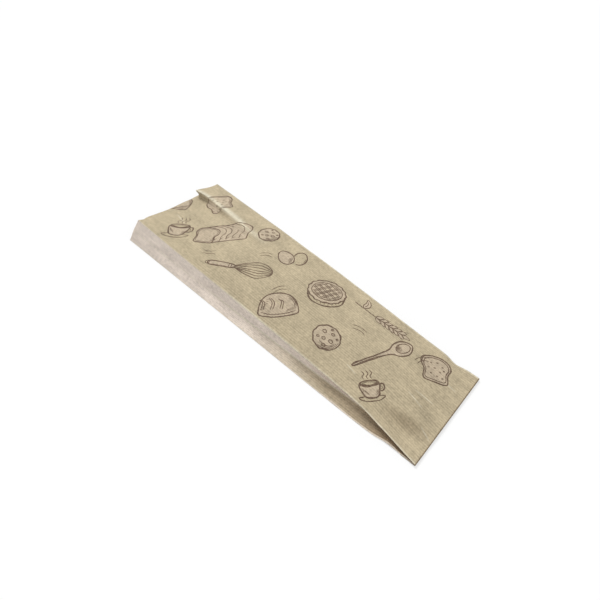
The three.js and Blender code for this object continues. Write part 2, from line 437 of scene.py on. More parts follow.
def mixColor(tree, share, a, b, blend="MIX"):
    node = addNode(tree, "ShaderNodeMix", data_type="RGBA", blend_type=blend)
    for index, value in ((0, share), (6, a), (7, b)):
        if isinstance(value, bpy.types.NodeSocket):
            tree.links.new(value, node.inputs[index])
        else:
            node.inputs[index].default_value = value if index == 0 else (*value, 1)
    return node.outputs[2]


def newGroup(name, kind, inputs, outputs):
    tree = bpy.data.node_groups.new(name, kind)
    for sockets, way in ((inputs, "INPUT"), (outputs, "OUTPUT")):
        for label, socket in sockets.items():
            tree.interface.new_socket(label, in_out=way, socket_type="NodeSocket" + socket)
    return tree


def paperGroup():
    # Ribbed kraft: fine ribs along the bag, fibres, and a cloudy tone; sheet places are in metres
    depths = {"Rib Pitch": "ribPitch", "Rib Depth": "ribDepth", "Fibre Depth": "fibreDepth"}
    inputs = {"Sheet Place": "Vector", **dict.fromkeys(depths, "Float")}
    tree = newGroup("ribbedKraft", "ShaderNodeTree", inputs, {"Tone": "Float", "Height": "Float"})
    for name, key in depths.items():
        tree.interface.items_tree[name].default_value = paperLook[key]
    given = addNode(tree, "NodeGroupInput").outputs
    result = addNode(tree, "NodeGroupOutput")
    place = given["Sheet Place"]

    def clouds(scale, stretch, detail=2.0):
        spot = addNode(tree, "ShaderNodeMapping", {"Vector": place, "Scale": stretch}).outputs[0]
        texture = addNode(tree, "ShaderNodeTexNoise", {"Vector": spot, "Scale": scale, "Detail": detail})
        return texture.outputs[0]

    split = addNode(tree, "ShaderNodeSeparateXYZ", {0: place})
    drift = calc(tree, "MULTIPLY", clouds(1, (30, 12, 1)), 0.003)
    girthPlace = calc(tree, "ADD", split.outputs[0], drift)
    turn = calc(tree, "DIVIDE", girthPlace, given["Rib Pitch"])
    wave = calc(tree, "SINE", calc(tree, "MULTIPLY", turn, math.tau))
    wave = calc(tree, "MULTIPLY_ADD", wave, 0.5, 0.5)
    strength = calc(tree, "MULTIPLY_ADD", clouds(1, (190, 34, 1), 3), 1.3, 0.1)
    rib = calc(tree, "MULTIPLY", wave, strength)
    fibre = clouds(1, (1500, 420, 1), 3)
    cloud = clouds(1, (70, 34, 1), 4)
    speck = clouds(1, (360, 250, 1), 3)
    streak = clouds(1, (430, 13, 1), 2)
    tone = toneShares["base"]
    parts = {"rib": rib, "streak": streak, "cloud": cloud, "fibre": fibre, "speck": speck}
    for name, part in parts.items():
        tone = calc(tree, "MULTIPLY_ADD", part, toneShares[name], tone)
    height = calc(tree, "MULTIPLY", rib, given["Rib Depth"])
    height = calc(tree, "MULTIPLY_ADD", fibre, given["Fibre Depth"], height)
    tree.links.new(tone, result.inputs["Tone"])
    tree.links.new(height, result.inputs["Height"])
    return tree


ribbedKraft = paperGroup()

# Thin handling creases in the front panel, raised a little and given a painted highlight on the bare paper,
# from and to (along, share across from the near crease)
handlingMarks = {
    "width": 0.6 * mm,
    "height": 0.1 * mm,
    "places": [
        ((302, 0.3), (328, 0.262)),
        ((343, 0.206), (357, 0.188)),
        ((405, 0.412), (425, 0.383)),
        ((409, 0.471), (431, 0.492)),
        ((423, 0.746), (440, 0.736)),
        ((434, 0.262), (447, 0.228)),
        ((20, 0.358), (46, 0.321)),
        ((110, 0.69), (160, 0.78)),
    ],
}


def markGroup():
    # A soft line on the sheet between two places, in metres
    inputs = {"Sheet Place": "Vector", "Start": "Vector", "End": "Vector", "Width": "Float"}
    tree = newGroup("handlingMark", "ShaderNodeTree", inputs, {"Mask": "Float"})
    given = addNode(tree, "NodeGroupInput").outputs
    result = addNode(tree, "NodeGroupOutput")

    def vector(operation, a, b, output="Vector"):
        return addNode(tree, "ShaderNodeVectorMath", {0: a, 1: b}, operation=operation).outputs[output]

    line = vector("SUBTRACT", given["End"], given["Start"])
    reach = vector("SUBTRACT", given["Sheet Place"], given["Start"])
    share = calc(tree, "DIVIDE", vector("DOT_PRODUCT", reach, line, "Value"),
                 vector("DOT_PRODUCT", line, line, "Value"))
    share = addNode(tree, "ShaderNodeClamp", {"Value": share}).outputs[0]
    nearest = addNode(tree, "ShaderNodeVectorMath", {0: line, "Scale": share}, operation="SCALE").outputs[0]
    away = calc(tree, "DIVIDE", vector("DISTANCE", reach, nearest, "Value"), given["Width"])
    soft = calc(tree, "EXPONENT", calc(tree, "MULTIPLY", calc(tree, "MULTIPLY", away, away), -1.0))
    taper = calc(tree, "MULTIPLY", calc(tree, "MULTIPLY", share, calc(tree, "SUBTRACT", 1.0, share)), 4.0)
    tree.links.new(calc(tree, "MULTIPLY", soft, calc(tree, "SQRT", taper)), result.inputs["Mask"])
    return tree


handlingMark = markGroup()


def markOn(tree, place, start, end):
    # One mark between two (girth, along) places in millimetres
    mark = addNode(tree, "ShaderNodeGroup", {
        "Sheet Place": place,
        "Start": (start[0] * mm, start[1] * mm, 0),
        "End": (end[0] * mm, end[1] * mm, 0),
        "Width": handlingMarks["width"],
    }, node_tree=handlingMark)
    return mark.outputs["Mask"]


def marksOn(tree, place):
    total = 0.0
    for ends in handlingMarks["places"]:
        start, end = [(frontStart + (1 - across) * bag["width"], along) for along, across in ends]
        total = calc(tree, "MAXIMUM", markOn(tree, place, start, end), total)
    return total


def paperMaterial(name):
    material = bpy.data.materials.new(name)
    material.use_nodes = True
    tree = material.node_tree
    shader = tree.nodes["Principled BSDF"]
    shader.inputs["Roughness"].default_value = paperLook["roughness"]
    shader.inputs["Specular IOR Level"].default_value = 0.25
    place = addNode(tree, "ShaderNodeUVMap", uv_map="sheet").outputs[0]
    paper = addNode(tree, "ShaderNodeGroup", node_tree=ribbedKraft)
    tree.links.new(place, paper.inputs["Sheet Place"])
    return material, tree, shader, paper, place


def finishPaper(tree, shader, paper, color, marks):
    tone = paper.outputs["Tone"]
    gray = addNode(tree, "ShaderNodeCombineColor", {0: tone, 1: tone, 2: tone}).outputs[0]
    tree.links.new(mixColor(tree, 1.0, color, gray, "MULTIPLY"), shader.inputs["Base Color"])
    height = calc(tree, "MULTIPLY_ADD", marks, handlingMarks["height"], paper.outputs["Height"])
    grain = addNode(tree, "ShaderNodeBump", {"Height": height, "Strength": 1.0, "Distance": 1.0})
    tree.links.new(grain.outputs[0], shader.inputs["Normal"])


def patches(tree, place, scale):
    return addNode(tree, "ShaderNodeTexNoise", {"Vector": place, "Scale": scale, "Detail": 3.0}).outputs[0]


def kraftPaper():
    material, tree, shader, paper, place = paperMaterial("kraftPaper")

    def mask(name):
        return addNode(tree, "ShaderNodeAttribute", attribute_name=name).outputs["Fac"]

    # Painted highlight: a paler color along the creases, the ridge and the handling marks
    paintedHighlight = mask("crease")
    # Painted light: the gussets take a paler, greyer color
    color = mixColor(tree, mask("gusset"), paperLook["frontColor"], paperLook["gussetLitColor"])
    patchy = patches(tree, place, 90.0)
    paintedHighlight = calc(tree, "MULTIPLY", paintedHighlight, calc(tree, "MULTIPLY_ADD", patchy, 1.0, 0.3))
    marks = marksOn(tree, place)
    paintedHighlight = calc(tree, "MAXIMUM", paintedHighlight, calc(tree, "MULTIPLY", marks, 0.7))
    color = mixColor(tree, paintedHighlight, color, paperLook["highlightColor"])
    # Painted shade: a dark line along the lap seam, with the fold shade mask for the gussets, hollow, trough
    # and edges
    lapLine = markOn(tree, place, (lapEdge, -150), (lapEdge, bag["length"] + 150))
    paintedShade = calc(tree, "MULTIPLY", lapLine, maskLook["lapShade"])
    paintedShade = calc(tree, "MAXIMUM", mask("foldShade"), paintedShade)
    color = mixColor(tree, paintedShade, color, paperLook["foldShadeColor"], "MULTIPLY")
    finishPaper(tree, shader, paper, color, marks)
    return material


def printMaterial(name, ink, paperShow):
    # Flexo ink on the ribs: a little paper shows through it in places
    material, tree, shader, paper, place = paperMaterial(name)
    patchy = patches(tree, place, 420.0)
    thin = calc(tree, "MULTIPLY_ADD", patchy, paperShow * 2, -paperShow * 0.5)
    color = mixColor(tree, calc(tree, "MAXIMUM", thin, 0.0), ink, paperLook["frontColor"])
    finishPaper(tree, shader, paper, color, marksOn(tree, place))
    return material


kraft = kraftPaper()
lineInk = printMaterial("printInk", paperLook["inkColor"], 0.3)
tintInk = printMaterial("printTint", paperLook["tintColor"], 0.5)
print("materials made")


# The bag: outer skin, inner skin joined to it along the cut mouth, and the folded flap

def bagStations():
    radius = (seal + bag["flapThickness"]) / 2
    body = np.linspace(3.4, bag["length"] - radius - 1.5, sheetDetail["stations"] - 9)
    close = bag["length"] - radius * (1 - np.array([-0.4, 0, 0.35, 0.65, 0.86, 1]))
    return np.concatenate([[0, 0.6, 1.6], body, close])


def makeBag():
    stations = bagStations()
    outer = endRounded(cockled(ringPoints(stations), stations))
    count = len(columnGirth)
    # The inner skin meets the outer one in the pressed end, so the sheet is closed without a cap
    pressed = 1 - 0.75 * eased(stations / bag["length"], 0.84, 0.95)
    thin = np.minimum(bag["paper"], 0.03 + 0.12 * creaseDistance)[None, :] * pressed[:, None]
    innerRows = len(stations) - 1
    inner = (outer - gridNormals(outer) * thin[:, :, None])[:innerRows]
    inner[0, :, 0] = outer[0, :, 0]
    verts = np.concatenate([outer.reshape(-1, 3), inner.reshape(-1, 3)])
    innerFirst = len(stations) * count
    faces = quads(0, len(stations), count)
    uvs = [gridUvs(stations, 0)]
    innerFaces = np.array(quads(innerFirst, len(stations), count, turned=True))
    lastRow = innerFaces >= innerFirst + innerRows * count
    faces += np.where(lastRow, innerFaces - innerFirst, innerFaces).tolist()
    uvs.append(gridUvs(stations, 0.34, turned=True))
    j = np.arange(count)
    rim = np.stack([j, innerFirst + j, innerFirst + (j + 1) % count, (j + 1) % count], axis=1)
    faces += rim.tolist()
    g = np.append(columnGirth, fullGirth) * mm
    rimUv = np.stack([g[:-1], g[:-1], g[1:], g[1:]], axis=1)
    uvs.append(np.stack([rimUv, np.zeros_like(rimUv) - 0.002], axis=2).reshape(-1, 2))
    flapFaces, flapUvs, flapVerts = flapPart(len(verts))
    faces += flapFaces
    uvs.append(flapUvs)
    placed = (np.concatenate([verts, flapVerts]) - [bag["length"] / 2, bag["width"] / 2 + fold, 0]) * mm
    obj = makeMesh("paperBag", placed.tolist(), faces, np.concatenate(uvs), kraft)
    innerValues = {"gusset": maskLook["gussetInside"]}
    # The flap under the bag takes a little painted shade
    flapValues = {"foldShade": maskLook["flapShade"]}
    for name, mask in sheetMasks(stations).items():
        innerMask = np.full(innerRows * count, innerValues.get(name, 0))
        flapMask = np.full(len(flapVerts), flapValues.get(name, 0))
        addMask(obj.data, name, np.concatenate([mask.ravel(), innerMask, flapMask]))
    return obj


def sheetMasks(stations):
    # Painted light on the sheet: paler, greyer gussets, painted highlights along the creases and the ridge,
    # and painted shade deep in the gussets, in the hollow and the ridge's trough, and along the sealed edge
    u = (stations / bag["length"])[:, None]
    upper = np.isin(columnSide, ["farUpper", "nearUpper"])[None, :]
    lower = np.isin(columnSide, ["farLower", "nearLower"])[None, :]
    towardFold = np.where(columnSide == "farLower", columnShare, 1 - columnShare)[None, :]
    # Painted light: the gussets are paler and greyer; the lower flanks lose it toward the sealed end
    lowerPale = 1 - maskLook["lowerPaleLoss"] * eased(u, 0.42, 0.78)
    gusset = np.where(upper, 1, np.where(lower, lowerPale, 0))
    # Painted shade deep in the gussets, reaching further toward the foot of the lower flanks nearer the
    # sealed end
    start = foldShadeStart(u)
    shade = np.where(upper, 1, np.where(lower, eased(towardFold, start - 0.12, start + 0.14), 0))
    along = np.minimum(1, u * bag["length"] / bag["ridgeLength"])
    fromCrest = 1 - columnShare[None, :] - bag["ridgePlace"] - ridgeShift(along)
    # Painted highlight on the near face of the pinched ridge, and painted shade in the trough beside it
    ridgeHighlightMask = bump(fromCrest - 0.012, maskLook["ridgeHighlightWidth"] + 0.014 * along)
    ridgeHighlightMask *= np.minimum(1, 2.2 * (1 - along)) * maskLook["ridgeHighlight"]
    trough = bump(fromCrest - maskLook["troughPlace"], maskLook["troughWidth"])
    trough *= np.minimum(1, 2 * (1 - along)) * eased(along, 0.02, 0.25) * maskLook["troughShade"]
    front = (columnSide == "front")[None, :]
    # Painted highlight along every crease, weaker near the mouth
    crease = bump(creaseDistance, maskLook["creaseHighlightWidth"])[None, :] * maskLook["creaseHighlight"]
    crease = crease * (0.35 + 0.65 * eased(u, 0.3, 0.5))
    # Painted shade along the sealed edge, where the highlights stop
    endEdge = eased(stations, bag["length"] - 1.4, bag["length"] - 0.5)[:, None]
    shade = np.maximum(shade * foldShadeDepth(u), maskLook["endEdgeShade"] * endEdge)
    # Painted shade on the slope of the hollow near the sealed end
    slope = 1 - columnShare[None, :] - hollowSlope(u)
    dim = bump(slope, np.where(slope < 0, maskLook["hollowNearWidth"], maskLook["hollowFarWidth"]))
    dim *= bump(u - 0.935, 0.056) * maskLook["hollowShade"]
    shade = np.where(front, np.maximum(shade, np.maximum(dim, trough)), shade)
    paintedHighlight = np.maximum(crease, ridgeHighlightMask * front) * (1 - endEdge)
    return {"gusset": gusset, "crease": paintedHighlight, "foldShade": shade}


def flapPart(first):
    # The end of the tube is turned under and glued: a slab with a round outer edge
    radius = (seal + bag["flapThickness"]) / 2
    start = bag["length"] - bag["flapDepth"]
    top = bag["flapThickness"]
    profile = [(start, top * 0.98), (start, 0.12), (start + 0.15, 0.0), (start + 5, 0.0), (start + 10, 0.0)]
    for angle in range(0, 81, 16):
        turn = math.radians(angle)
        profile.append((bag["length"] - radius * (1 - math.sin(turn)), radius * (1 - math.cos(turn))))
    profile += [(bag["length"] - 0.2, radius * 0.95), (bag["length"] - radius, top * 0.98)]
    profile.append((start + 8, top * 0.98))
    profile = np.array(profile)
    rows = 40
    across = np.linspace(0.15, bag["width"] - 0.15, rows)
    ragged = np.array([0.35 * noise.noise((y / 16, 3.3, sheetDetail["seed"])) for y in across])
    count = len(profile)
    verts = np.zeros((rows, count, 3))
    verts[:, :, 0] = profile[None, :, 0] + ragged[:, None] * (profile[None, :, 0] < start + 1)
    verts[:, :, 1] = across[:, None]
    verts[:, :, 2] = profile[None, :, 1]
    faces = quads(first, rows, count)
    length = np.concatenate([[0], np.cumsum(np.hypot(*np.diff(profile, axis=0).T))])
    length = np.append(length, length[-1] + 9) * mm
    i, j = np.meshgrid(np.arange(rows - 1), np.arange(count), indexing="ij")
    v = across * mm + 0.7
    corners = [(v[i], length[j]), (v[i], length[j + 1]), (v[i + 1], length[j + 1]), (v[i + 1], length[j])]
    faces.append([first + k for k in range(count - 1, -1, -1)])
    faces.append([first + (rows - 1) * count + k for k in range(count)])
    uvs = np.concatenate([cornerUvs(corners), np.zeros((2 * count, 2)) - 0.02])
    return faces, uvs, verts.reshape(-1, 3)


paperBag = makeBag()
print("bag made:", len(paperBag.data.polygons), "faces")


# The print: bakery drawings of our own, each in millimetres about its own middle, upright

def curveThrough(points, closed=False, steps=7):
    points = np.array(points, float)
    if closed:
        wrapped = np.concatenate([points[-1:], points, points[:2]])
    else:
        wrapped = np.concatenate([points[:1] * 2 - points[1:2], points, points[-1:] * 2 - points[-2:-1]])
    out = []
    for a, b, c, d in zip(wrapped, wrapped[1:], wrapped[2:], wrapped[3:]):
        for k in range(steps):
            t = k / steps
            out.append(0.5 * (2 * b + (c - a) * t + (2 * a - 5 * b + 4 * c - d) * t * t
                              + (3 * b - a - 3 * c + d) * t ** 3))
    if not closed:
        out.append(points[-1])
    return np.array(out)


def arc(cx, cy, rx, ry, start=0, end=360, steps=32):
    angle = np.radians(np.linspace(start, end, steps, endpoint=end - start < 360))
    return np.stack([cx + rx * np.cos(angle), cy + ry * np.sin(angle)], axis=1)


printLook = {
    "outline": 1.5,
    "detail": 1.05,
    "hatch": 0.75,
    "wobble": 0.5,
    "stepLength": 1.6,
    "fillGrid": 3.0,
    "lift": 0.05,
    "tintLift": 0.025,
}
outline, detail, hatch = printLook["outline"], printLook["detail"], printLook["hatch"]


class Drawing:
    def __init__(self, draw):
        self.strokes, self.fills = [], []
        draw(self)

    def line(self, points, width=detail, closed=False):
        self.strokes.append((np.array(points, float), width, closed))

    def body(self, points, width=outline):
        self.line(points, width, True)
        self.fills.append(np.array(points, float))

    def curve(self, points, width=detail):
        self.line(curveThrough(points), width)

    def shape(self, points, steps, width=outline):
        self.body(curveThrough(points, True, steps), width)

    def specks(self, places, size=0.9):
        for x, y in places:
            self.line([(x - size / 2, y), (x + size / 2, y + size / 4)])

    def shade(self, cx, cy, rx, ry, start, end, rings=3, gap=1.5):
        for ring in range(rings):
            trim, inside = ring * 9, gap * (ring + 1)
            self.line(arc(cx, cy, rx - inside, ry - inside, start + trim, end - trim, 14), hatch)


def wheatEar(art):
    art.curve([(-3, -44), (-1.5, -25), (0, -5), (0.5, 30)])
    for i in range(6):
        y = -6 + i * 7.2
        for side in (-1, 1):
            grain = [(0.2 * side, y), (4.4 * side, y + 1.6), (6.6 * side, y + 7), (5.4 * side, y + 11.5),
                     (1.9 * side, y + 8), (0.4 * side, y + 4)]
            art.shape(grain, 4, hatch)
            if i % 2 == 0:
                art.line([(5.6 * side, y + 11.5), (9.5 * side, y + 20)], hatch * 0.8)
    art.shape([(0, 37), (-2.6, 42), (0.2, 49), (2.8, 42)], 5, hatch)
    art.shape([(-2, -27), (-9, -21), (-17, -24), (-21, -31), (-13, -30), (-6, -31)], 5, detail)
    art.curve([(-4, -28), (-11, -26), (-18, -29)], hatch)


def tinLoaf(art):
    face = curveThrough([
        (-13, -15), (0, -16), (13, -15), (13.5, -3), (16.5, 4), (14, 12),
        (5, 15.5), (-5, 15.5), (-14, 12), (-16.5, 4), (-13.5, -3),
    ], True, 5)
    shift = np.array([44, 17])
    upper = np.arctan2(face[:, 1] - 1, face[:, 0])
    outside = face[(upper > -0.95) & (upper < 2.2)]
    outside = outside[np.argsort(np.arctan2(outside[:, 1] - 1, outside[:, 0]))]
    top, low = outside[-1], outside[0]
    art.line(outside + shift, outline)
    art.line([top, top + shift], outline)
    art.line([low, low + shift], outline)
    art.fills.append(np.concatenate([[low], outside + shift, [top]]))
    for share in (0.2, 0.37, 0.55, 0.76):
        part = outside[2:-1] if share > 0.3 else outside
        art.line(part + shift * share)
    art.body(face)
    art.line(curveThrough([(p[0] * 0.86, p[1] * 0.86) for p in face[::4]], True, 4), hatch, True)
    art.specks([(-6, 4), (3, 7), (6, -3), (-3, -6), (0, 1), (-8, -5), (8, 4), (-2, 9), (3, -9), (-9, 1)])
    for k in range(5):
        art.line([(14 + k * 8, -11 + k * 3.1), (17.5 + k * 8, -4.5 + k * 3.1)], hatch)


def cookie(art):
    edge = arc(0, 0, 15, 14.1, 0, 360, 26)
    edge *= (1 + 0.028 * np.sin(np.arange(26) * 2.3))[:, None]
    art.shape(edge, 3)
    chips = [
        (-6, 4, 2.4), (3, 7, 2), (6, -1, 2.6), (-2, -3, 2.2),
        (-8, -5, 1.7), (3, -9, 2.1), (-1, 11, 1.5), (10, 5, 1.4),
    ]
    for x, y, wide in chips:
        art.line(arc(x, y, wide, wide * 0.75, 0, 360, 9), detail, True)
        art.line(arc(x, y, wide * 0.45, wide * 0.35, 20, 200, 5), hatch)
    art.shade(0, 0, 15, 14.1, -100, 15)


def breadSlice(art):
    crust = curveThrough([
        (-15, -17), (0, -18), (15, -17), (15.5, -4), (19.5, 4), (18, 13),
        (9, 18), (0, 18.5), (-9, 18), (-18, 13), (-19.5, 4), (-15.5, -4),
    ], True, 5)
    art.body(crust)
    art.line(crust * 0.85, detail, True)
    holes = [(-7, 8), (1, 10), (8, 6), (-10, 0), (-2, 2), (5, -2), (-6, -7), (2, -9), (9, -10), (10, 1)]
    for x, y in holes:
        art.line(arc(x, y, 1.3, 0.8, 0, 360, 8), hatch, True)
    for k in range(4):
        art.line([(17.6 + k * 0.3, 2 + k * 3), (15.8 - k * 0.2, 0.5 + k * 3)], hatch)


def roundLoaf(art):
    art.shape([
        (-23, -7), (-20, -13), (0, -16), (20, -13), (23, -7), (19, 7), (8, 14.5), (-8, 14.5), (-19, 7),
    ], 6)
    for k in (-1, 0, 1):
        cut = [(-11 + 11 * k, 9 - abs(k) * 2), (-7 + 11 * k, 3), (-9 + 11 * k, -6)]
        art.curve(cut)
        art.curve([(a + 2.6, b - 0.5) for a, b in cut])
        x, y = cut[0]
        art.line([(x, y), (x + 2.6, y - 0.5)], hatch)
    art.curve([(-20, -9), (-8, -12.4), (8, -12.4), (20, -9)])
    for k in range(9):
        x, y = -16 + k * 4, -13.6 + abs(k - 4) * 0.3
        art.line([(x, y), (x + 1.4, y + 2)], hatch)
    art.shade(0, -1, 22, 15, -20, 60, 2)
    for k in range(7):
        art.line([(-20.5 + k * 1.1, -5 + k * 2.1), (-17 + k * 1.2, -6.5 + k * 2.1)], hatch)
        art.line([(9 + k * 1.7, -10.5 + k * 0.5), (11.5 + k * 1.5, -7 + k * 0.9)], hatch)


def whisk(art):
    art.shape([(-2.6, -42), (2.6, -42), (3.2, -24), (2.2, -10), (-2.2, -10), (-3.2, -24)], 5)
    art.line([(-2.6, -13), (2.6, -13)])
    art.line([(-2.9, -16), (2.9, -16)])
    art.line(arc(0, -44.5, 2.4, 2.4), detail, True)
    for wide in (12, 8, 4):
        left = [(-1.4, -10), (-wide * 0.7, 6), (-wide, 22), (-wide * 0.55, 36)]
        art.curve(left + [(0, 40)] + [(-x, y) for x, y in left[::-1]])
    art.curve([(0, -10), (0.6, 14), (0, 40)])
    for k in range(4):
        art.line([(1.6, -38 + k * 5), (2.3, -34 + k * 5)], hatch)


def spoon(art):
    right = [(1.4, -40), (1.7, -10), (3, 8), (8.5, 18), (9, 30)]
    left = [(-x, y) for x, y in right[::-1]]
    art.shape(left[-1:] + right + [(0, 40)] + left[:-1], 6)
    art.line(arc(0, 26.5, 5.9, 9.6, 0, 360, 24), detail, True)
    for k in range(4):
        art.line(arc(0, 26.5, 4.6 - k, 8 - k * 1.6, 200, 320, 9), hatch)
    art.line([(0.4, -36), (0.6, -6)], hatch)


def latticePie(art):
    rim = arc(0, 0, 24, 18, 0, 360, 60)
    rim *= (1 + 0.035 * np.cos(np.arange(60) * math.tau / 4))[:, None]
    art.body(rim)
    art.line(arc(0, 0.5, 19.5, 13.8, 0, 360, 40), detail, True)
    t = np.linspace(-20, 20, 41)
    for k in (-2, -1, 0, 1, 2):
        for slope in (-0.72, 0.72):
            for side in (-1.2, 1.2):
                strip = np.stack([t, slope * t + k * 8 + side], axis=1)
                strip = strip[(strip[:, 0] / 18.6) ** 2 + ((strip[:, 1] - 0.5) / 13) ** 2 < 1]
                if len(strip) > 3:
                    art.line(strip, hatch + 0.1)
    art.curve([(-24, -3), (-19, -17), (0, -23.5), (19, -17), (24, -3)], outline)
    for k in range(11):
        angle = math.radians(207 + k * 12.6)
        c, s = math.cos(angle), math.sin(angle)
        art.line([(23.3 * c, 18 * s), (21 * c, 22 * s)], hatch)


def cup(art):
    art.shape([(-14, 6), (-12.5, -5), (-7, -13), (7, -13), (12.5, -5), (14, 6), (0, 2.6)], 6)
    art.line(arc(0, 6, 14, 4, 0, 360, 28), outline, True)
    art.line(arc(0, 5.4, 11, 2.5, 0, 360, 22), hatch, True)
    art.curve([(13.4, 3), (19, 4.5), (20.5, -1.5), (16, -5.5), (11.6, -5)], outline)
    art.curve([(13, 0.6), (16.5, 1.6), (17.5, -1.5), (14.6, -3.3), (12.6, -3)], hatch)
    art.curve([(-10, -11.5), (-19, -12.4), (-11, -17), (0, -18), (11, -17), (19, -12.4), (10, -11.5)])
    for x in (-5.5, 0.5, 6):
        art.curve([(x, 12), (x - 2.4, 16), (x + 1.6, 20), (x - 1, 25)])
    art.shade(0, 0, 14, 13.6, -60, -8)
    for k in range(5):
        art.line([(-11.5 + k * 1.5, 1 - k * 1.6), (-10 + k * 1.6, -5 - k * 1.2)], hatch)


def eggs(art):
    def shell(cx, cy, tilt, size):
        t = np.radians(np.linspace(0, 360, 30, endpoint=False))
        x, y = size * 8.6 * np.sin(t) * (1 - 0.12 * np.cos(t)), size * 11.4 * np.cos(t)
        c, s = math.cos(tilt), math.sin(tilt)
        return np.stack([cx + c * x - s * y, cy + s * x + c * y], axis=1)

    art.body(shell(-7, 0, 0.35, 1.0))
    behind = shell(9.5, -3, -0.5, 0.95)
    hidden = behind[:, 0] <= 1.6
    behind = np.roll(behind, -int(np.argmax(hidden)), axis=0)
    art.line(behind[behind[:, 0] > 1.6], outline)
    art.shade(-7, 0, 8.8, 11, -80, 0)
    art.shade(10, -3, 8.5, 9.5, -80, 0, 2)
    art.specks([(-10, 4), (-6, 6), (-8, -1), (-4, 1), (-11, -3), (9, 1), (12, -3), (8, -5), (13, 2)], 0.7)


def twinArcs(art):
    art.line(arc(0, 0, 15, 15, 58, 122, 12), hatch)
    art.line(arc(0, 0, 19.5, 19.5, 66, 118, 12), hatch)


# Where each drawing sits on the front panel: along from the mouth, across from the near crease, turn, scale
printLayout = [
    (roundLoaf, -6, 60, 18, 0.95),
    (cup, 50, 27, 34, 0.95),
    (breadSlice, 46, 95, 70, 0.9),
    (tinLoaf, 88, 44, 30, 0.92),
    (cookie, 148, 100, 20, 0.95),
    (whisk, 168, 36, -62, 1.0),
    (eggs, 200, 92, 52, 1.1),
    (roundLoaf, 240, 28, 44, 1.0),
    (latticePie, 268, 82, 30, 0.95),
    (wheatEar, 334, 98, -84, 0.8),
    (cookie, 308, 34, 0, 1.05),
    (spoon, 364, 64, -24, 0.92),
    (breadSlice, 412, 94, 28, 0.82),
    (cup, 376, 22, 52, 0.75),
    (twinArcs, 108, 40, 214, 1.0),
    (twinArcs, 184, 58, 36, 1.0),
    (twinArcs, 240, 36, 60, 1.0),
    (twinArcs, 308, 40, 196, 1.0),
    (twinArcs, 330, 52, 10, 1.0),
    (twinArcs, 408, 84, 60, 0.9),
]


def evenly(points, closed, step):
    if closed:
        points = np.concatenate([points, points[:1]])
    lengths = np.concatenate([[0], np.cumsum(np.hypot(*np.diff(points, axis=0).T))])
    count = max(5 if closed else 2, int(lengths[-1] / step) + 1)
    at = np.linspace(0, lengths[-1], count + (1 if closed else 0))
    out = np.stack([np.interp(at, lengths, points[:, 0]), np.interp(at, lengths, points[:, 1])], axis=1)
    return out[:-1] if closed else out


def toPanel(points, along, across, turn, size):
    c, s = math.cos(math.radians(turn)), math.sin(math.radians(turn))
    points = points * size
    return np.stack([along + c * points[:, 0] - s * points[:, 1],
                     across + s * points[:, 0] + c * points[:, 1]], axis=1)


def toSheet(points):
    # Panel places become sheet places: girth and length in metres
    return np.stack([(frontStart + bag["width"] - points[:, 1]) * mm, points[:, 0] * mm,
                     np.zeros(len(points))], axis=1)


def handDrawn(points, seed, shake=1):
    x, y = points.T / 9
    moves = np.stack([paperNoise(x, y, seed), paperNoise(x, y, seed + 5)], axis=1)
    return points + moves * printLook["wobble"] * shake


def ribbon(points, width, closed, seed):
    if closed:
        ahead, behind = np.roll(points, -1, axis=0), np.roll(points, 1, axis=0)
    else:
        ahead = np.concatenate([points[1:], points[-1:] * 2 - points[-2:-1]])
        behind = np.concatenate([points[:1] * 2 - points[1:2], points[:-1]])
    tangent = ahead - behind
    tangent /= np.maximum(np.hypot(*tangent.T)[:, None], 1e-6)
    side = np.stack([-tangent[:, 1], tangent[:, 0]], axis=1)
    press = paperNoise(*points.T / 7, seed)
    half = width / 2 * (1 + 0.35 * press)
    if not closed:
        place = np.arange(len(points))
        half = half * np.minimum(1, 0.45 + 0.4 * np.minimum(place, place[::-1]))
    return points + side * half[:, None], points - side * half[:, None]


def flatMesh(name, verts, faces, material):
    verts = np.array(verts)
    corners = np.concatenate([np.array(face) for face in faces])
    return makeMesh(name, verts.tolist(), faces, verts[corners][:, :2], material)


def drawLines():
    verts, faces = [], []
    for number, (draw, *place) in enumerate(printLayout):
        strokes = [(*stroke, 1) for stroke in Drawing(draw).strokes]
        again = [stroke for stroke in strokes if stroke[1] >= outline]
        strokes += [(points, hatch, closed, 3) for points, width, closed, shake in again]
        for points, width, closed, shake in strokes:
            points = handDrawn(toPanel(points, *place), number * 1.7 + shake - 1, shake)
            points = evenly(points, closed, printLook["stepLength"])
            left, right = ribbon(points, width, closed, number + 0.5 * shake)
            first = len(verts)
            verts += toSheet(np.stack([left, right], axis=1).reshape(-1, 2)).tolist()
            count = len(points)
            for i in range(count if closed else count - 1):
                a, b = first + 2 * i, first + 2 * ((i + 1) % count)
                faces.append([a, a + 1, b + 1, b])
    return flatMesh("printLines", verts, faces, lineInk)


def drawTints():
    verts, faces = [], []
    grid = printLook["fillGrid"]
    for number, (draw, *place) in enumerate(printLayout):
        for points in Drawing(draw).fills:
            edge = evenly(handDrawn(toPanel(points, *place), number * 1.7), True, printLook["stepLength"])
            low, top = edge.min(axis=0), edge.max(axis=0)
            inner = np.stack(np.meshgrid(np.arange(low[0], top[0], grid), np.arange(low[1], top[1], grid),
                                         indexing="ij"), axis=2).reshape(-1, 2)
            sources = [Vector(p) for p in np.concatenate([edge, inner]).tolist()]
            result = delaunay_2d_cdt(sources, [], [list(range(len(edge)))], 1, 0.01)
            first = len(verts)
            flat = np.array([tuple(p) for p in result[0]])
            verts += toSheet(flat).tolist()
            for face in result[2]:
                faces.append([first + k for k in face])
    return flatMesh("printTint", verts, faces, tintInk)


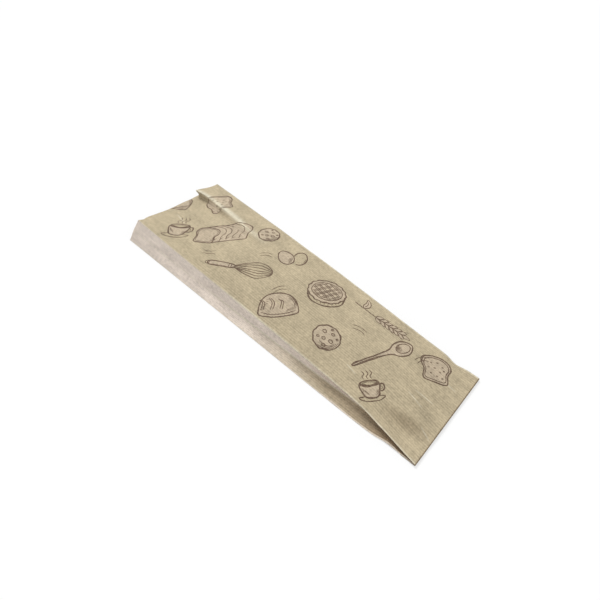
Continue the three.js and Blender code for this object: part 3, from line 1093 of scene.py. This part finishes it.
def printTree():
    # Lays a flat drawing on the bag: each point goes to its own place on the sheet, just over it
    inputs = {"Drawing": "Geometry", "Sheet": "Object", "Lift": "Float", "Ink": "Material"}
    tree = newGroup("layPrintOnSheet", "GeometryNodeTree", inputs, {"Print": "Geometry"})
    given = addNode(tree, "NodeGroupInput").outputs
    sheet = addNode(tree, "GeometryNodeObjectInfo", {"Object": given["Sheet"]}).outputs["Geometry"]
    sheetPlace = addNode(tree, "GeometryNodeInputNamedAttribute", {"Name": "sheet"},
                         data_type="FLOAT_VECTOR")
    flatPlace = addNode(tree, "GeometryNodeInputPosition").outputs[0]

    def sampled(field):
        return addNode(tree, "GeometryNodeSampleUVSurface", {
            "Mesh": sheet,
            "Value": field,
            "UV Map": sheetPlace.outputs["Attribute"],
            "Sample UV": flatPlace,
        }, data_type="FLOAT_VECTOR").outputs

    spot = sampled(addNode(tree, "GeometryNodeInputPosition").outputs[0])
    facing = sampled(addNode(tree, "GeometryNodeInputNormal").outputs[0])
    lifted = addNode(tree, "ShaderNodeVectorMath", {
        0: facing["Value"],
        "Scale": given["Lift"],
    }, operation="SCALE").outputs[0]
    target = addNode(tree, "ShaderNodeVectorMath", {0: spot["Value"], 1: lifted}, operation="ADD")
    missed = addNode(tree, "FunctionNodeBooleanMath", {0: spot["Is Valid"]}, operation="NOT")
    trimmed = addNode(tree, "GeometryNodeDeleteGeometry", {
        "Geometry": given["Drawing"],
        "Selection": missed.outputs[0],
    }, domain="POINT")
    laid = addNode(tree, "GeometryNodeSetPosition", {
        "Geometry": trimmed.outputs[0],
        "Position": target.outputs[0],
    })
    inked = addNode(tree, "GeometryNodeSetMaterial", {"Geometry": laid.outputs[0], "Material": given["Ink"]})
    done = addNode(tree, "NodeGroupOutput")
    tree.links.new(inked.outputs[0], done.inputs["Print"])
    return tree


layPrint = printTree()


def layOn(flatObject, lift, material):
    modifier = flatObject.modifiers.new("layPrint", "NODES")
    modifier.node_group = layPrint
    values = {"Sheet": paperBag, "Lift": lift * mm, "Ink": material}
    for name, value in values.items():
        modifier[layPrint.interface.items_tree[name].identifier] = value
    graph = bpy.context.evaluated_depsgraph_get()
    laid = bpy.data.meshes.new_from_object(flatObject.evaluated_get(graph))
    flatObject.modifiers.remove(modifier)
    laid.name = flatObject.name
    flatObject.data = laid
    return flatObject


printTint = layOn(drawTints(), printLook["tintLift"], tintInk)
printLines = layOn(drawLines(), printLook["lift"], lineInk)
lineFaces, tintFaces = len(printLines.data.polygons), len(printTint.data.polygons)
print("print laid:", lineFaces, "line faces,", tintFaces, "tint faces")

for piece in (paperBag, printTint, printLines):
    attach(piece, "root")
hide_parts("paper_bag")

# Floor, light and camera

stageLook = {
    "floorColor": (0.8, 0.8, 0.8),
    "floorSeen": (0.95, 0.95, 0.95),
    "floorGlow": 0.6,
    "skyLight": 0.62,
    "sunPower": 2.15,
    "sunWidth": 22,
    "sunElevation": 42,
    "sunHeading": (-0.9, 0.45),
}


def seenDirectly(tree):
    # 1 for camera, glossy and transmission rays, so the floor and sky look plain white in them
    rays = addNode(tree, "ShaderNodeLightPath").outputs
    mirrored = calc(tree, "MAXIMUM", rays["Is Glossy Ray"], rays["Is Transmission Ray"])
    return calc(tree, "MAXIMUM", rays["Is Camera Ray"], mirrored)


def makeFloor():
    mesh = bpy.data.meshes.new("floor")
    mesh.from_pydata([(-8, -8, 0), (8, -8, 0), (8, 8, 0), (-8, 8, 0)], [], [(0, 1, 2, 3)])
    floor = addObject("floor", mesh)
    floor.location.z = -0.0002
    material = bpy.data.materials.new("floorPaper")
    material.use_nodes = True
    tree = material.node_tree
    shader = tree.nodes["Principled BSDF"]
    shader.inputs["Roughness"].default_value = 1
    shader.inputs["Specular IOR Level"].default_value = 0
    glow = addNode(tree, "ShaderNodeEmission", {"Color": (1, 1, 1, 1), "Strength": 1.0})
    seen = seenDirectly(tree)
    color = mixColor(tree, seen, stageLook["floorColor"], stageLook["floorSeen"])
    tree.links.new(color, shader.inputs["Base Color"])
    share = calc(tree, "MULTIPLY", seen, stageLook["floorGlow"])
    mixed = addNode(tree, "ShaderNodeMixShader", {0: share, 1: shader.outputs[0], 2: glow.outputs[0]})
    tree.links.new(mixed.outputs[0], tree.nodes["Material Output"].inputs["Surface"])
    mesh.materials.append(material)


def makeSky():
    world = bpy.data.worlds.new("softRoom")
    world.use_nodes = True
    tree = world.node_tree
    tree.nodes["Background"].inputs["Strength"].default_value = stageLook["skyLight"]
    tree.nodes["Background"].inputs["Color"].default_value = (1, 1, 1, 1)
    white = addNode(tree, "ShaderNodeBackground", {"Color": (1, 1, 1, 1), "Strength": 1.0})
    mixed = addNode(tree, "ShaderNodeMixShader", {
        0: seenDirectly(tree),
        1: tree.nodes["Background"].outputs[0],
        2: white.outputs[0],
    })
    tree.links.new(mixed.outputs[0], tree.nodes["World Output"].inputs["Surface"])
    bpy.context.scene.world = world


def makeSun():
    light = bpy.data.lights.new("windowLight", "SUN")
    light.energy = stageLook["sunPower"]
    light.angle = math.radians(stageLook["sunWidth"])
    lamp = addObject("windowLight", light)
    heading = Vector((*stageLook["sunHeading"], 0)).normalized()
    heading.z = math.tan(math.radians(stageLook["sunElevation"]))
    lamp.rotation_euler = heading.to_track_quat("Z", "Y").to_euler()
    lamp.location = heading


cameraView = {
    "place": (0.2465, -0.254, 0.396),
    "target": (0.016, -0.0021, 0),
    "lens": 26.4,
    "sensor": 36,
}


def makeCamera():
    camera = addObject("camera", bpy.data.cameras.new("camera"))
    camera.data.lens = cameraView["lens"]
    camera.data.sensor_width = cameraView["sensor"]
    camera.data.clip_start = 0.01
    camera.location = cameraView["place"]
    look = Vector(cameraView["target"]) - Vector(cameraView["place"])
    camera.rotation_euler = look.to_track_quat("-Z", "Y").to_euler()
    bpy.context.scene.camera = camera


makeFloor()
makeSky()
makeSun()
makeCamera()
bpy.context.scene.view_settings.view_transform = "Standard"
print("stage set")
